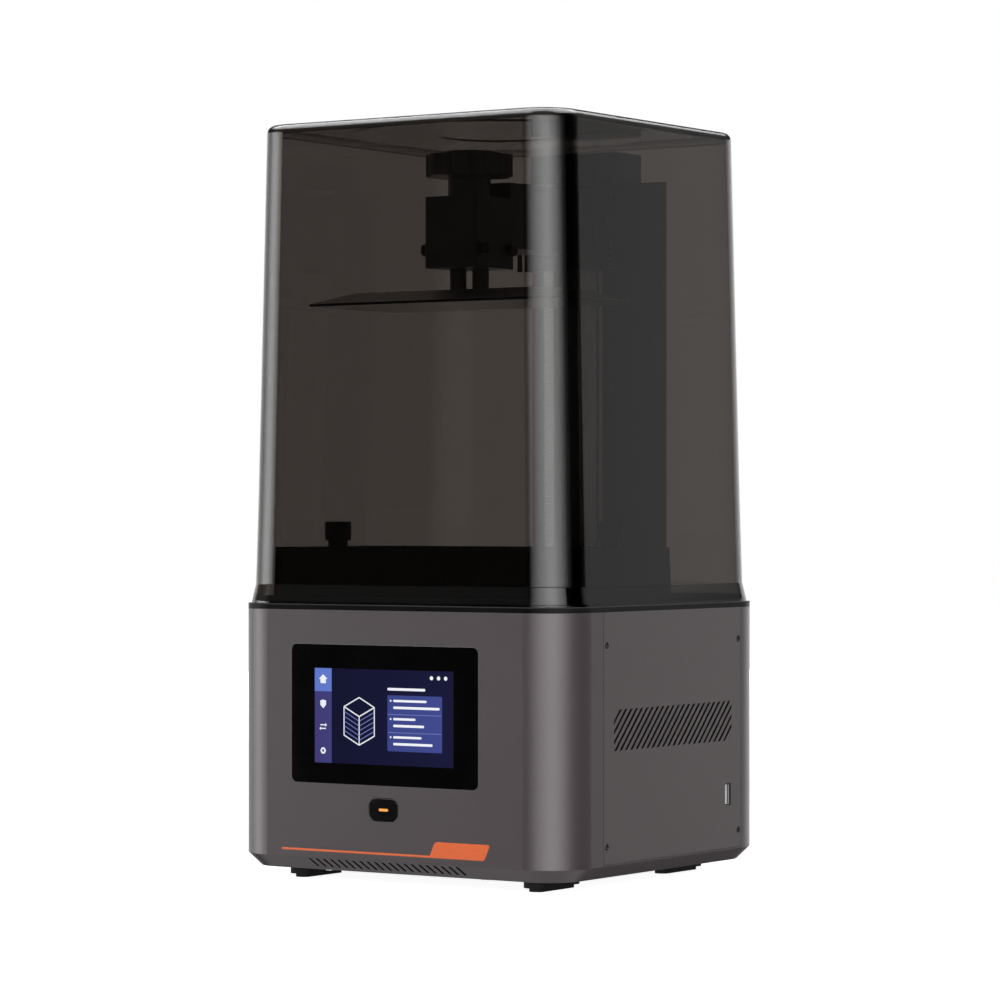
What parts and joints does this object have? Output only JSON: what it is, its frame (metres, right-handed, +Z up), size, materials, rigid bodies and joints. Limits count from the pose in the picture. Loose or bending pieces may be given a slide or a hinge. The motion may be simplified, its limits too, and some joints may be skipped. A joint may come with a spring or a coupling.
{
  "type": "desktop resin printer",
  "caption": "Desktop resin 3D printer: rounded grey base with a front touch display, smoked lift-off cover, resin vat, and a build plate carried on a screw-driven column.",
  "frame": {"origin": "bottom centre of the machine, on the ground under the feet", "axes": "+X to the right seen from the front, -Y out of the front with the display, +Z up"},
  "size_m": [0.236, 0.226, 0.4444],
  "materials": {
    "shell_grey": "fine textured",
    "black_plastic": "fine textured",
    "black_gloss": "polished",
    "smoked_clear": "polished",
    "black_metal": "satin",
    "aluminium": "satin",
    "steel": "brushed",
    "brass": "turned",
    "rubber": "matt",
    "orange": "satin",
    "board_green": "satin",
    "clear": "polished",
    "dark_glass": "polished"
  },
  "bodies": {
    "base": {"base_shell": "shell_grey", "bottom_plate": "black_metal", "bottom_screws": "steel", "feet": "rubber", "side_panel_left": "shell_grey", "side_panel_right": "shell_grey", "panel_screws": "black_metal", "usb_socket": "steel", "screen_glass": "black_gloss", "display_module": "dark_glass", "button_housing": "black_plastic", "front_stripe": "orange", "deck": "black_plastic", "masking_screen": "dark_glass", "lens": "clear", "light_hood": "black_plastic", "led_board": "board_green", "heat_sink": "aluminium", "board_posts": "brass", "main_board": "board_green", "fan_frame": "black_plastic", "power_inlet": "black_plastic", "z_motor": "black_metal", "column_plate": "black_metal", "column_screws": "steel", "column_cap": "black_metal", "linear_rail": "steel", "rail_screws": "steel"},
    "cover": {"cover": "smoked_clear"},
    "screw": {"lead_screw": "steel"},
    "lift": {"rail_carriage": "steel", "lift_arm": "black_metal", "lead_nut": "brass"},
    "platform": {"platform_head": "black_metal", "levelling_block": "black_metal", "level_screws": "steel", "plate_posts": "black_metal", "build_plate": "aluminium"},
    "knob": {"clamp_knob": "black_plastic"},
    "vat": {"vat_tub": "black_plastic", "film_frame": "steel", "release_film": "clear", "film_screws": "steel"},
    "left_thumb": {"vat_screw_left": "black_plastic"},
    "right_thumb": {"vat_screw_right": "black_plastic"},
    "button": {"power_button": "black_gloss", "button_light": "orange"},
    "fan": {"fan_rotor": "black_plastic"}
  },
  "joints": [
    {"name": "cover_lift", "type": "slide", "parent": "base", "child": "cover", "axis": [0, 0, 1], "range_m": [0, 0.3]},
    {"name": "z_lift", "type": "slide", "parent": "base", "child": "lift", "axis": [0, 0, 1], "range_m": [-0.1728, 0]},
    {"name": "screw_spin", "type": "hinge", "parent": "base", "child": "screw", "pos_m": [-0.0202, 0.084, 0.16], "axis": [0, 0, 1], "continuous": true},
    {"name": "platform_slide", "type": "slide", "parent": "lift", "child": "platform", "axis": [0, -1, 0], "range_m": [0, 0.024]},
    {"name": "knob_turn", "type": "hinge", "parent": "platform", "child": "knob", "pos_m": [0, -0.033, 0.42], "axis": [0, 0, 1], "range_deg": [0, 360]},
    {"name": "vat_lift", "type": "slide", "parent": "base", "child": "vat", "axis": [0, 0, 1], "range_m": [0, 0.03]},
    {"name": "left_thumb_turn", "type": "hinge", "parent": "vat", "child": "left_thumb", "pos_m": [-0.0962, -0.033, 0.2], "axis": [0, 0, 1], "continuous": true},
    {"name": "right_thumb_turn", "type": "hinge", "parent": "vat", "child": "right_thumb", "pos_m": [0.0962, -0.033, 0.2], "axis": [0, 0, 1], "continuous": true},
    {"name": "button_press", "type": "slide", "parent": "base", "child": "button", "axis": [0, 1, 0], "range_m": [0, 0.0012], "stiffness_N_per_m": 500, "springref_m": -0.001},
    {"name": "fan_spin", "type": "hinge", "parent": "base", "child": "fan", "pos_m": [0.045, 0.1, 0.072], "axis": [0, 1, 0], "continuous": true}
  ],
  "couplings": [
    {"joint": "screw_spin", "follows": "z_lift", "rad_per_m": -1570.8}
  ]
}
